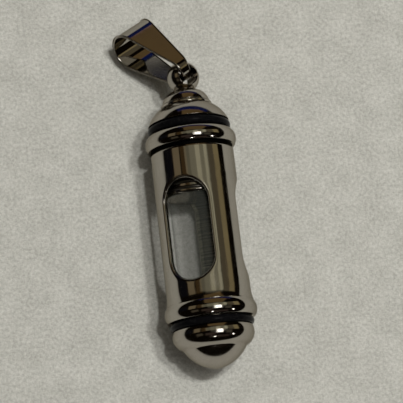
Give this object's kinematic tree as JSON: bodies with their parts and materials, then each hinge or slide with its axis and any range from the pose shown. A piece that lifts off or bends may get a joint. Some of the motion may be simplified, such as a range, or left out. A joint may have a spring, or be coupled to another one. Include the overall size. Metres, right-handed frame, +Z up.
{
  "type": "cremation pendant",
  "caption": "Polished steel capsule urn pendant with windows over a glass tube, screw caps with O-rings at both ends and a folded tapered bail.",
  "frame": {"origin": "bottom centre of the box round the pendant and its bail, on the surface on which it lies", "axes": "+Y along the capsule towards the eye, +Z up, +X to the right with the front window up"},
  "size_m": [0.0148, 0.0484, 0.012],
  "materials": {
    "shell_steel": "mirror polish",
    "cap_steel": "mirror polish",
    "bail_steel": "mirror polish",
    "clear_glass": "clear",
    "seal_rubber": "satin"
  },
  "bodies": {
    "shell_body": {"shell": "shell_steel", "upper_bead": "shell_steel", "lower_bead": "shell_steel", "glass_tube": "clear_glass"},
    "upper_seal": {"upper_oring": "seal_rubber"},
    "upper_cap": {"top_cap": "cap_steel"},
    "bail_loop": {"bail": "bail_steel"},
    "lower_seal": {"lower_oring": "seal_rubber"},
    "lower_cap": {"bottom_cap": "cap_steel"}
  },
  "joints": [
    {"name": "upper_cap_slide", "type": "slide", "parent": "shell_body", "child": "upper_seal", "axis": [0, 1, 0], "range_m": [0, 0.0083]},
    {"name": "upper_cap_turn", "type": "hinge", "parent": "upper_seal", "child": "upper_cap", "pos_m": [0.00138, 0.0079, 0.006], "axis": [0, 1, 0], "range_deg": [0, 3990]},
    {"name": "lower_cap_slide", "type": "slide", "parent": "shell_body", "child": "lower_seal", "axis": [0, -1, 0], "range_m": [0, 0.0038]},
    {"name": "lower_cap_turn", "type": "hinge", "parent": "lower_seal", "child": "lower_cap", "pos_m": [0.00138, -0.0186, 0.006], "axis": [0, -1, 0], "range_deg": [0, 1830]},
    {"name": "bail_swing", "type": "hinge", "parent": "upper_cap", "child": "bail_loop", "pos_m": [0.0006, 0.0159, 0.0063], "axis": [0.7839, 0.5293, -0.3247], "range_deg": [0, 100]}
  ],
  "couplings": [
    {"joint": "upper_cap_turn", "follows": "upper_cap_slide", "rad_per_m": 8377.6},
    {"joint": "lower_cap_turn", "follows": "lower_cap_slide", "rad_per_m": 8377.6}
  ]
}
